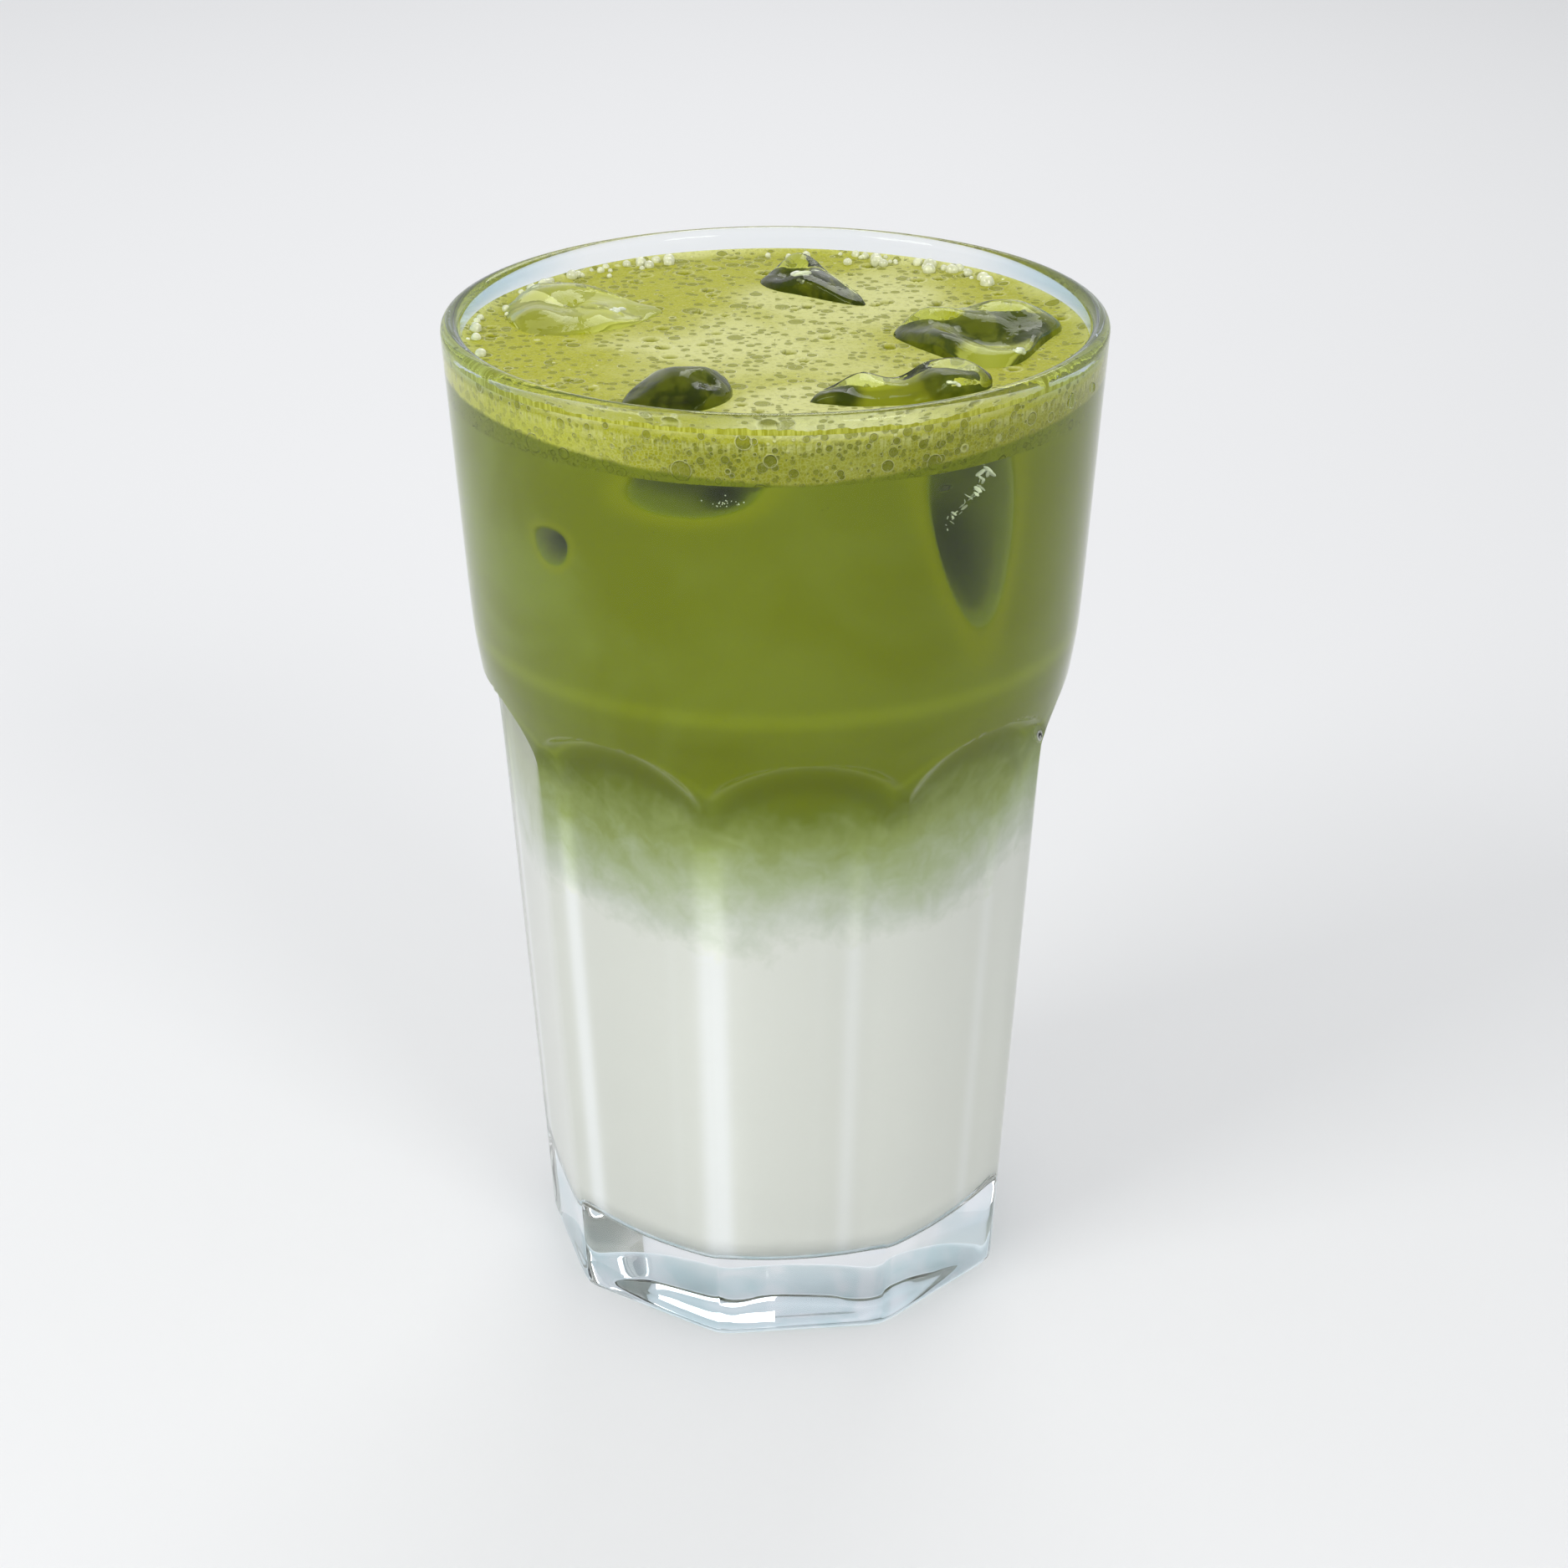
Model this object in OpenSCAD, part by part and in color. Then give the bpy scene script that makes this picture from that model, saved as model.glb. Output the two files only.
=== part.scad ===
// Iced matcha latte in a panelled tumbler: glass, three layers of drink and five pieces of ice.
// Millimetres, +Z up, origin at the centre of the foot, on the table.

/* [Glass outside] */
// Height of the glass
glass_h = 140; // [130:1:175]
// Diameter across the rim
rim_d = 88.8; // [74:0.2:107]
// How much wider the upper cone's radius gets per millimetre of height
cone_flare = 0.064; // [0.03:0.001:0.08]
// Height at which the cone turns in to the shoulder
shoulder_z = 97; // [90:0.5:117]
// Inward slope of the shoulder, in degrees from upright
shoulder_slope = 10.2; // [8:0.1:16]
// Radius of the bend between cone and shoulder
shoulder_bend_r = 17; // [6:0.5:24]
// Radius of the rounded edge under the foot
foot_round_r = 1.6; // [0.5:0.1:2.5]

/* [Panels] */
// Number of flat panels round the body
panel_n = 9; // [8:1:11]
// Diameter across the ridges between the panels, at the foot
foot_d = 67.6; // [58:0.2:76]
// Height at which the shoulder has run down into the ridges
shoulder_low_z = 81.4; // [78:0.2:88]
// How far the ridges are rounded back from the sharp corner
ridge_round = 0.3; // [0.1:0.05:0.6]
// Height of the top of each panel's flat face, under its arch
arch_z = 89.2; // [78:0.2:93]
// Radius of the arch over each panel
arch_r = 19; // [16:0.5:24]
// Radius of the cove that joins a panel to its arch
arch_cove_r = 2.8; // [1.5:0.1:4]
// Direction that one panel faces, in degrees from +X
panel_turn = -84.2; // [-100:0.2:-70]

/* [Glass inside] */
// Thickness of the wall in the upper cone and at the lip
cone_wall = 2.6; // [2.1:0.05:3.2]
// Thickness of the wall at the middle of a panel
body_wall = 3.2; // [2.6:0.05:3.9]
// Thickness of the solid base
base_h = 10.5; // [8:0.1:13]
// Radius of the hollow's rounded bottom corner
well_round_r = 5; // [3:0.1:6]
// Height of the hollow's shoulder, from its foot to its top
inner_shoulder_h = 15; // [12:0.5:18]

/* [Drink] */
// Distance from the rim down to the top of the foam
foam_drop = 3.4; // [2.8:0.1:4.1]
// Thickness of the foam
foam_h = 6.2; // [5:0.1:7.5]
// Height of the milk above the base of the hollow
milk_h = 62.5; // [52:0.5:75]

/* [Ice] */
// Gap between neighbouring pieces of ice
ice_gap = 0.6; // [0.4:0.1:0.8]
// Film of drink between the ice and the wall
ice_film = 0.5; // [0.4:0.1:0.7]
// Depth of the ice's centres below the top of the foam
ice_depth = 10.4; // [9.9:0.1:12.5]

/* [Hidden] */
$fn = 96;
beyond = 20;                        // how far cutting shapes run past the glass
arc_step = 7.5;                     // most degrees that one band of a rounded edge covers

rim_r = rim_d / 2;
foot_r = foot_d / 2;
panel_step = 360 / panel_n;
panel_cos = cos(panel_step / 2);
foam_z = glass_h - foam_drop;
foam_low_z = foam_z - foam_h;
milk_z = base_h + milk_h;

// Points on an arc about centre, from one angle to another, both in degrees from +X.
function arc(centre, r, from, to) =
    let (steps = ceil(abs(to - from) / arc_step))
    [for (i = [0 : steps])
        let (a = from + (to - from) * i / steps)
        centre + r * [cos(a), sin(a)]];

// The lip is a half round that touches both faces of the cone.
cone_angle = atan(cone_flare);
lip_r = cone_wall * cos(cone_angle) / 2;
lip_z = glass_h - lip_r;

// Radius of the outer cone at height z, and of the straight shoulder that runs down and in from it.
function cone_r(z) = rim_r - cone_flare * (lip_z - z);
function shoulder_r(z) = cone_r(shoulder_z) - tan(shoulder_slope) * (shoulder_z - z);

// Radius of the ridges, which run straight from the foot up to the shoulder's lower end, and, at a
// panel's middle, of its face.
body_flare = (shoulder_r(shoulder_low_z) - foot_r) / shoulder_low_z;
function ridge_r(z) = foot_r + body_flare * z;
function panel_r(z) = (ridge_r(z) + ridge_round) * panel_cos;

// The bend is an arc that touches the cone and the shoulder.
bend_reach = shoulder_bend_r * tan((shoulder_slope - cone_angle) / 2);
bend_centre = [cone_r(shoulder_z) + bend_reach * sin(cone_angle) - shoulder_bend_r * cos(cone_angle),
               shoulder_z + bend_reach * cos(cone_angle) + shoulder_bend_r * sin(cone_angle)];

// The hollow: wall thicknesses taken off the cone and off the panels, joined by its own shoulder.
hollow_top_z = shoulder_z;
hollow_low_z = shoulder_z - inner_shoulder_h;
function hollow_cone_r(z) = cone_r(z) - cone_wall;
function hollow_body_r(z) = panel_r(z) - body_wall;

// The hollow's outline from the middle of its bottom up to height top, as [radius, height].
well_z = base_h + well_round_r;
function hollow_line(top) = concat(
    [[0, base_h]],
    arc([hollow_body_r(well_z) - well_round_r, well_z], well_round_r, -90, 0),
    [[hollow_body_r(hollow_low_z), hollow_low_z], [hollow_cone_r(hollow_top_z), hollow_top_z],
     [hollow_cone_r(top), top]]);

// Half of the glass's wall and base, before the panels are cut.
module glass_section() {
    hollow = hollow_line(lip_z);
    polygon(concat(
        [[0, 0]],
        arc([ridge_r(foot_round_r) - foot_round_r, foot_round_r], foot_round_r, -90, 0),
        [[ridge_r(shoulder_low_z), shoulder_low_z]],
        arc(bend_centre, shoulder_bend_r, -shoulder_slope, -cone_angle),
        arc([cone_r(lip_z) - cone_wall / 2, lip_z], lip_r, -cone_angle, 180 - cone_angle),
        [for (i = [len(hollow) - 2 : -1 : 0]) hollow[i]]));
}

// Cuts away what lies outside one panel's face, up to the cove and the arch.
module panel_cutter() {
    lean = atan(body_flare * panel_cos);
    length = arch_z + beyond;
    translate([panel_r(arch_z), 0, arch_z])
        rotate([0, lean, 0])
            translate([0, 0, -arch_r]) {
                rotate([0, 90, 0])
                    rotate_extrude()
                        cutter_section();
                translate([0, 0, -length])
                    linear_extrude(height = length)
                        rotate(-90) {
                            cutter_section();
                            mirror([1, 0])
                                cutter_section();
                        }
            }
}

// Half of the cutter's section, as [distance from its middle, distance out from the panel's face].
module cutter_section() {
    square([arch_r, beyond]);
    translate([0, arch_cove_r])
        square([arch_r + arch_cove_r, beyond - arch_cove_r]);
    translate([arch_r, arch_cove_r])
        circle(r = arch_cove_r);
}

module glass() {
    color("lightcyan", 0.4)
        difference() {
            rotate_extrude()
                glass_section();
            for (i = [0 : panel_n - 1])
                rotate(panel_turn + panel_step * i)
                    panel_cutter();
        }
}

// A layer of drink that fills the hollow between two heights.
module layer(low, high) {
    intersection() {
        rotate_extrude()
            polygon(concat(hollow_line(foam_z), [[0, foam_z]]));
        translate([-rim_r, -rim_r, low])
            cube([rim_d, rim_d, high - low]);
    }
}

module milk() {
    color("ivory")
        layer(base_h, milk_z);
}

module matcha() {
    color("olivedrab")
        difference() {
            layer(milk_z, foam_low_z);
            all_ice();
        }
}

module foam() {
    color("yellowgreen")
        difference() {
            layer(foam_low_z, foam_z);
            all_ice();
        }
}

// Pieces of ice, in the order of their nodes: direction from the axis, turns about X, Y and Z, and
// the block's sides against its ball's radius.
ice_places = [
    [152, [12, -16, 20], [1.7, 1.5, 1.6]],
    [80, [-24, 14, 35], [1.5, 1.6, 1.45]],
    [4, [10, 22, -12], [1.75, 1.55, 1.6]],
    [-116, [34, -26, 10], [1.45, 1.6, 1.7]],
    [-56, [-18, 20, 48], [1.6, 1.75, 1.5]],
];

// Each piece is a block worn round by melting: what a cuboid and a ball have in common. The balls
// touch neither each other nor the wall, so they leave the gap and the film.
ice_z = foam_z - ice_depth;
ice_near = 60;                      // the smallest angle between neighbouring pieces
ice_near_sin = sin(ice_near / 2);
ice_ring_r = (hollow_cone_r(ice_z) - ice_film + ice_gap / 2) / (1 + ice_near_sin);
ice_ball_r = ice_ring_r * ice_near_sin - ice_gap / 2;

module ice(k) {
    rotate(ice_places[k][0])
        translate([ice_ring_r, 0, ice_z])
            rotate(ice_places[k][1])
                intersection() {
                    sphere(r = ice_ball_r);
                    cube(ice_ball_r * ice_places[k][2], center = true);
                }
}

module all_ice() {
    for (k = [0 : len(ice_places) - 1])
        ice(k);
}

module ice_piece(k) {
    color("darkseagreen")
        ice(k);
}

glass();
milk();
matcha();
foam();
ice_piece(0);  // ice_back_left
ice_piece(1);  // ice_back_centre
ice_piece(2);  // ice_right
ice_piece(3);  // ice_front_left
ice_piece(4);  // ice_front_right
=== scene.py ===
"""An iced matcha latte in a panelled tumbler: the looks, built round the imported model.

Every piece is a numpy surface in metres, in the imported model's own frame: the tumbler of clear
glass, the layers of drink that reach just into its wall, five clear pieces of ice that stand out
of the froth, three more under the surface, bubbles, a smear of froth over the drink and two drops.
"""

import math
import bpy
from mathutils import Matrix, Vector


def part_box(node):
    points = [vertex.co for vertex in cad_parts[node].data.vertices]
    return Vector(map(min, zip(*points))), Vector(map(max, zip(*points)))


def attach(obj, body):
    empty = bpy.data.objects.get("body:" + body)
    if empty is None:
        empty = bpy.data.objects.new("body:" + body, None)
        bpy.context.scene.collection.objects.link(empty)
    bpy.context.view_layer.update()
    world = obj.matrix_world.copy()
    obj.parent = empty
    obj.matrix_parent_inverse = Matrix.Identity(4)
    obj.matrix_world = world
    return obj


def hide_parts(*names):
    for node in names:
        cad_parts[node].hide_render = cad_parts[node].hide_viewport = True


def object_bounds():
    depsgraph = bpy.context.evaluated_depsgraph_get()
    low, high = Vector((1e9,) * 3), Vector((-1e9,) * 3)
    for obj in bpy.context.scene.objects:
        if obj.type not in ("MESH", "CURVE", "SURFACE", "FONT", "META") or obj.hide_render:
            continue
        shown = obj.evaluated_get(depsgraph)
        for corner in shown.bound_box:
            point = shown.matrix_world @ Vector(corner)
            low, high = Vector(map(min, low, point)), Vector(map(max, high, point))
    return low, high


bl_info = {
    "name": "Iced matcha latte",
    "version": (1, 0, 0),
    "blender": (4, 5, 0),
    "location": "3D View > Sidebar > Latte",
    "description": "Builds an iced matcha latte in a panelled tumbler around its packed model",
    "category": "Add Mesh",
}

import bmesh
import bpy
import numpy as np
from bpy.props import FloatProperty, FloatVectorProperty, IntProperty, PointerProperty

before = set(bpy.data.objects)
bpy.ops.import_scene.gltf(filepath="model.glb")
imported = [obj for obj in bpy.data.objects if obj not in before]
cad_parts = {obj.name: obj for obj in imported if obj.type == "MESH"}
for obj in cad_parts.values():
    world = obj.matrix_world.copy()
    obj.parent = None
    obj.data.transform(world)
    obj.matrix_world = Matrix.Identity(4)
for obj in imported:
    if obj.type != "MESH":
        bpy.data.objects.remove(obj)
CAD_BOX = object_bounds()

MM = 0.001
GLASS_H = CAD_BOX[1][2]
RIM_R = CAD_BOX[1][0]
BASE_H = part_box("milk")[0][2]
MILK_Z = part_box("milk")[1][2]
FOAM_LOW_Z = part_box("foam")[0][2]
FOAM_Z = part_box("foam")[1][2]
SOAK = 0.25 * MM  # how far the drink reaches into the wall, so that no air gap shows


# ---------------------------------------------------------------- sizes and colours


def length_property(name, millimetres, description):
    """A property for a length, given in millimetres and kept in metres."""
    return FloatProperty(name=name, default=millimetres * MM, unit="LENGTH", description=description)


def angle_property(name, degrees, description):
    """A property for an angle, given in degrees and kept in radians."""
    return FloatProperty(
        name=name, default=math.radians(degrees), subtype="ANGLE", description=description)


def colour_property(name, light, description):
    """A property for a colour, as linear light."""
    return FloatVectorProperty(name=name, subtype="COLOR", default=light, description=description)


class TumblerSizes(bpy.types.PropertyGroup):
    """Sizes of the glass that its packed box doesn't give."""

    cone_flare: FloatProperty(name="Cone flare", default=0.064, description="Widening of the cone")
    cone_wall: length_property("Cone wall", 2.6, "Wall of the cone")
    shoulder_z: length_property("Shoulder height", 97, "Where the cone turns in")
    shoulder_slope: angle_property("Shoulder slope", 10.2, "Slope of the shoulder")
    panels: IntProperty(name="Panels", default=9, min=8, max=11, description="Number of flat panels")
    panel_turn: angle_property("Panel turn", -84.2, "Direction that one panel faces")
    foot_r: length_property("Foot radius", 33.8, "Radius of the ridges at the foot")
    foot_round: length_property("Foot rounding", 1.3, "Radius under the foot")
    body_flare: FloatProperty(name="Body flare", default=0.063, description="Widening of the body")
    body_wall: length_property("Body wall", 3.2, "Wall at a panel's middle")
    ridge_round: length_property("Ridge rounding", 0.3, "How far the ridges are worn back")
    arch_z: length_property("Arch height", 89.2, "Top of a panel's flat face")
    arch_r: length_property("Arch radius", 19, "Radius of the arch over a panel")
    cove_r: length_property("Cove radius", 2.8, "Radius of the cove under the arch")
    soft: length_property("Edge softness", 0.22, "How soft the pressed edges are")
    well_r: length_property("Well rounding", 5, "Radius of the hollow's bottom corner")
    inner_shoulder: length_property("Inner shoulder", 15, "Height of the hollow's shoulder")


class DrinkLooks(bpy.types.PropertyGroup):
    """Colours of the drink, as linear light."""

    milk: colour_property("Milk", (0.725, 0.728, 0.665), "Milk")
    matcha: colour_property("Matcha", (0.162, 0.197, 0.001), "Matcha")
    cloud: colour_property("Cloud", (0.23, 0.29, 0.04), "Milky cloud in the matcha")
    foam: colour_property("Foam", (0.375, 0.38, 0.0), "Moist froth")
    froth: colour_property("Froth", (0.61, 0.615, 0.235), "Fine pale froth")
    # Painted shade and light behind the sunk ice: murk and deep are the matcha darkened with painted shade,
    # and halo is thin matcha over the ice, lightened with painted light.
    murk: colour_property("Murk", (0.115, 0.145, 0.001), "Matcha seen through a little ice")
    deep: colour_property("Deep", (0.022, 0.032, 0.0), "Matcha seen deep through the ice")
    halo: colour_property("Halo", (0.225, 0.262, 0.002), "Thin matcha over the ice")
    pit: colour_property("Pits", (0.20, 0.212, 0.0), "Inside of the bubbles")


class IceSizes(bpy.types.PropertyGroup):
    """How worn and how clear the ice is."""

    wear: length_property("Wear", 0.16, "Unevenness of the melted faces")
    seed: IntProperty(name="Seed", default=4, description="Seed of the uneven shapes")
    tint: colour_property("Tint", (0.86, 0.93, 0.62), "Tint of the ice")


class StageLooks(bpy.types.PropertyGroup):
    """Camera and light."""

    lens: FloatProperty(name="Lens", default=74.76, description="Focal length in millimetres")
    key_power: FloatProperty(name="Key light", default=4.2, description="Power of the soft key light")
    floor: colour_property("Floor", (0.82, 0.82, 0.82), "Floor")


class Latte(bpy.types.PropertyGroup):
    """Everything that a user may change."""

    tumbler: PointerProperty(type=TumblerSizes)
    drink: PointerProperty(type=DrinkLooks)
    ice: PointerProperty(type=IceSizes)
    stage: PointerProperty(type=StageLooks)


def settings():
    """The scene's sizes and looks."""
    return bpy.context.scene.latte


# ---------------------------------------------------------------- surfaces


def lathe(name, rings):
    """A closed piece from rings of points, each as long as the next, from a first ring at one pole
    to a last ring at the other: neighbouring rings are joined by quads, and each end by a fan to
    the mean of its ring."""
    rings = np.asarray(rings)
    count, around = rings.shape[:2]
    here = np.arange(around)
    there = (here + 1) % around
    low = (np.arange(count - 1) * around)[:, None]
    high = low + around
    quads = np.stack([low + here, low + there, high + there, high + here], -1).reshape(-1, 4)
    poles = rings[[0, -1]].mean(1)
    first = count * around
    last_ring = (count - 1) * around
    fans = np.concatenate([
        np.stack([there, here, np.full(around, first)], -1),
        np.stack([last_ring + here, last_ring + there, np.full(around, first + 1)], -1),
    ])
    points = np.concatenate([rings.reshape(-1, 3), poles])
    return build(name, points, quads, fans)


def build(name, points, quads, tris=None):
    """Puts arrays of points, quads and triangles into a new smooth-shaded object at the origin."""
    mesh = bpy.data.meshes.new(name)
    tris = np.zeros((0, 3), int) if tris is None else tris
    corners = np.concatenate([quads.ravel(), tris.ravel()]).astype(np.int32)
    starts = np.concatenate([np.arange(len(quads)) * 4, len(quads) * 4 + np.arange(len(tris)) * 3])
    mesh.vertices.add(len(points))
    mesh.vertices.foreach_set("co", np.asarray(points, np.float32).ravel())
    mesh.loops.add(len(corners))
    mesh.loops.foreach_set("vertex_index", corners)
    mesh.polygons.add(len(starts))
    mesh.polygons.foreach_set("loop_start", starts.astype(np.int32))
    mesh.update(calc_edges=True)
    mesh.shade_smooth()
    mesh.set_sharp_from_angle(angle=math.radians(60))
    return new_object(name, mesh)


def new_object(name, data):
    """A new object in the scene."""
    thing = bpy.data.objects.new(name, data)
    bpy.context.collection.objects.link(thing)
    return thing


def discard(piece):
    """Removes an object and its mesh."""
    mesh = piece.data
    bpy.data.objects.remove(piece)
    bpy.data.meshes.remove(mesh)


def ring(radius, height, angles):
    """Points round the axis at a radius, which may differ with the angle, and a height."""
    radius = np.broadcast_to(radius, angles.shape)
    height = np.broadcast_to(height, angles.shape)
    return np.stack([radius * np.cos(angles), radius * np.sin(angles), height], -1)


def arc(centre_r, centre_z, radius, start, end, count):
    """Radii and heights of points on an arc in the plane of a section."""
    turn = np.linspace(start, end, count)
    return np.stack([centre_r + radius * np.cos(turn), centre_z + radius * np.sin(turn)], -1)


# ---------------------------------------------------------------- the tumbler's form

PAST_COVE = 40  # how steeply a panel's cut leaves the glass past its cove
WINDOW_SQUARENESS = 2.3  # power of the superellipse round a piece of sunk ice


def lip_z():
    """Height of the centre of the lip's half round."""
    return GLASS_H - settings().tumbler.cone_wall / 2


def cone_r(z):
    """Outer radius of the cone: the rim's, less its flare for each metre below the lip."""
    return RIM_R - settings().tumbler.cone_flare * (lip_z() - z)


def ridge_r(z):
    """Radius of the ridges between the panels."""
    t = settings().tumbler
    return t.foot_r + t.body_flare * z


def panel_r(z):
    """Distance from the axis to the middle of a panel's face."""
    t = settings().tumbler
    return (ridge_r(z) + t.ridge_round) * math.cos(math.pi / t.panels)


def bell(value, middle, width):
    """A bell curve, 1 at its middle: e^(-((value - middle) / width)^2)."""
    return np.exp(-(((value - middle) / width) ** 2))


def soft_least(a, b, soft):
    """The lesser of two arrays, with the edge between them rounded:
    -soft log(e^(-a/soft) + e^(-b/soft))."""
    least = np.minimum(a, b)
    return least - soft * np.log1p(np.exp(-np.abs(a - b) / soft))


def soft_most(a, b, soft):
    """The greater of two arrays, with the hollow between them rounded."""
    return -soft_least(-a, -b, soft)


def turned_r(z):
    """Radius of the glass before its panels are pressed in: the cone, the shoulder that slopes in
    below it, and the ridges' own radius where that is greater."""
    t = settings().tumbler
    shoulder = cone_r(t.shoulder_z) - math.tan(t.shoulder_slope) * (t.shoulder_z - z)
    turned = soft_least(cone_r(z), shoulder, t.soft)
    return soft_most(turned, ridge_r(z), 1.5 * t.soft)


def off_panel(angles):
    """Angles measured from the middle of the nearest panel."""
    t = settings().tumbler
    step = 2 * math.pi / t.panels
    return (angles - t.panel_turn + step / 2) % step - step / 2


def outer_r(angles, z):
    """Outer radius on a grid of heights by angles: the lesser of the turned radius and the nearest
    panel's face, which is a plane up to its arch and then curls out in a cove."""
    t = settings().tumbler
    off = off_panel(angles)
    height = z[:, None]
    face = panel_r(height)
    across = face * np.tan(off)[None, :]
    over = np.hypot(across, np.maximum(height - (t.arch_z - t.arch_r), 0)) - t.arch_r
    inside = np.clip(over / t.cove_r, 0, 1)
    curl = t.cove_r * (1 - np.sqrt(1 - inside**2)) + np.maximum(over - t.cove_r, 0) * PAST_COVE
    return soft_least(turned_r(height), (face + curl) / np.cos(off)[None, :], t.soft)


def hollow_r(z):
    """Radius of the hollow: a wall's thickness inside the panels, then the hollow's shoulder, then a
    wall's thickness inside the cone, averaged over a few millimetres of height to round its bends."""
    t = settings().tumbler
    low = t.shoulder_z - t.inner_shoulder
    knots = np.array([0.0, low, t.shoulder_z, 2 * GLASS_H])
    radii = np.array([
        panel_r(0.0) - t.body_wall,
        panel_r(low) - t.body_wall,
        cone_r(t.shoulder_z) - t.cone_wall,
        cone_r(2 * GLASS_H) - t.cone_wall,
    ])
    spread = np.linspace(-3, 3, 9) * MM
    z = np.asarray(z, float)
    return np.interp(z[..., None] + spread, knots, radii).mean(-1)


def well_section(grow):
    """The hollow's rounded bottom as radii and heights, from near its middle out to the wall, grown
    outwards by a little."""
    t = settings().tumbler
    wall = float(hollow_r(BASE_H + t.well_r)) + grow
    corner = arc(wall - t.well_r, BASE_H - grow + t.well_r, t.well_r, -math.pi / 2, 0, 12)
    shares = np.linspace(0.15, 0.95, 6)[:, None]
    floor = shares * np.array([[corner[0, 0], 0]]) + [[0, corner[0, 1]]]
    return np.concatenate([floor, corner])


def heights(*stretches):
    """Heights along a wall: each stretch is a start, an end and a number of steps."""
    return np.concatenate([np.linspace(a, b, n, endpoint=False) for a, b, n in stretches])


def panel_angles(per_panel):
    """Angles round the glass, closer together near the ridges, where the surface bends."""
    t = settings().tumbler
    step = 2 * math.pi / t.panels
    s = np.linspace(-1, 1, per_panel, endpoint=False)
    off = step / 2 * (0.45 * s + 0.55 * np.sin(math.pi / 2 * s))
    return (t.panel_turn + step * np.arange(t.panels)[:, None] + off[None, :]).ravel()


# Where sunk ice leans on the wall: direction and height of the middle, half width along the wall,
# half height, how far the direction drifts and the width shrinks towards the lower end, depth, and
# where its darkest painted shade lies across and up it, with that part's size.
WINDOWS = (
    (-104.0, 129.6, 8.6, 4.0, -3.0, 0.0, 4.5, (0.50, -0.35, 0.42)),
    (-53.0, 121.6, 6.4, 14.6, 3.2, 0.36, 7.5, (0.12, -0.30, 0.62)),
    (-133.0, 118.4, 2.9, 2.7, 0.0, 0.2, 2.5, (0.0, 0.0, 0.7)),
)


def window_place(window, angles, z):
    """Where a point on the wall lies across and up a window, 1 at its edges: the middle drifts and
    the width shrinks in a straight line towards the lower end."""
    way, middle, wide, high, drift, shrink, _, _ = window
    rise = (z / MM - middle) / high
    around = (np.degrees(angles) - way + drift * rise + 180) % 360 - 180
    along = np.radians(around) * hollow_r(z) / MM
    return along / (wide * (1 + shrink * np.clip(rise, -1, 1))), rise


def windows(angles, z):
    """Over the wall: how deep the drink lies behind it, and how much painted shade darkens it behind
    the ice and painted light brightens it round that. A window's reach is that of a superellipse. Its
    painted shade is half dark inside, fading in at its edge, and quite dark in a smaller round part of
    its own."""
    dent, deep, halo = (np.zeros(np.broadcast(angles, z).shape) for _ in range(3))
    for window in WINDOWS:
        across, rise = window_place(window, angles, z)
        *_, depth, (x, y, size) = window
        power = WINDOW_SQUARENESS
        reach = (np.abs(across) ** power + np.abs(rise) ** power) ** (1 / power)
        inside = np.clip(1 - reach**2, 0, 1)
        dent = np.maximum(dent, depth * MM * inside**1.4)
        core = np.exp(-(((across - x) / size) ** 2) - (((rise - y) / size) ** 2))
        dark = 0.5 * np.clip(inside * 2.6, 0, 1) + 0.5 * core * np.clip(inside * 4, 0, 1)
        deep = np.maximum(deep, dark)
        edge = bell(reach, 1.1, 0.26) * np.clip((reach - 0.85) / 0.2, 0, 1)
        halo = np.maximum(halo, edge)
    return dent, deep, halo


def focus(angles, z):
    """How much light the pressed wall gathers on the drink behind it, from -1 to 1, painted into the
    drink's colour as painted light and painted shade: a bright streak behind each ridge, a bright line
    along the cove over each arch and the shoulder's bend, and a shade just inside each arch. Each is a
    bell curve of the distance from its line."""
    t = settings().tumbler
    step = 2 * math.pi / t.panels
    across = panel_r(z) * np.tan(off_panel(angles))
    over = (np.hypot(across, np.maximum(z - (t.arch_z - t.arch_r), 0)) - t.arch_r) / MM
    front = np.tanh(np.sin(angles + math.radians(85)) * 4)
    ridge = (angles - t.panel_turn) % step - step / 2
    away = ridge * hollow_r(z) / MM + 2.5 * (1 + front)
    streak = (0.72 - 0.26 * front) * (bell(away, 0, 1.8) + 0.2 * bell(away, -5.5, 1.3))
    below = 1 / (1 + np.exp((z / MM - 80) / 2.5))
    cove = bell(over, 1.9, 0.9) * (z > t.arch_z - 1.2 * t.arch_r)
    inside = bell(over, -1.8, 1.9) * (z > t.arch_z - t.arch_r)
    bend = bell((z - t.shoulder_z) / MM, 1.0, 1.5)
    shelf = bell((z - t.shoulder_z) / MM, -4.0, 1.8) * np.clip(over / 2, 0, 1)
    return 0.95 * streak * below + 0.75 * cove + 0.8 * bend - 0.8 * inside - 0.3 * shelf


# ---------------------------------------------------------------- node trees

DRINK_AGAINST_GLASS = 0.895  # refractive index of the drink over that of the glass


class Wire:
    """An output of a node tree. Plus, minus, times and divided by add Math nodes."""

    def __init__(self, tree, socket):
        self.tree, self.socket = tree, socket

    def _math(self, operation, a, b):
        return self.tree.add("ShaderNodeMath", {"operation": operation}, {0: a, 1: b})

    def __add__(self, other):
        return self._math("ADD", self, other)

    def __radd__(self, other):
        return self._math("ADD", other, self)

    def __sub__(self, other):
        return self._math("SUBTRACT", self, other)

    def __rsub__(self, other):
        return self._math("SUBTRACT", other, self)

    def __mul__(self, other):
        return self._math("MULTIPLY", self, other)

    def __rmul__(self, other):
        return self._math("MULTIPLY", other, self)

    def __truediv__(self, other):
        return self._math("DIVIDE", self, other)

    def at(self, name):
        """Another output of the same node, by its name or number."""
        return Wire(self.tree, self.socket.node.outputs[name])


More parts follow.
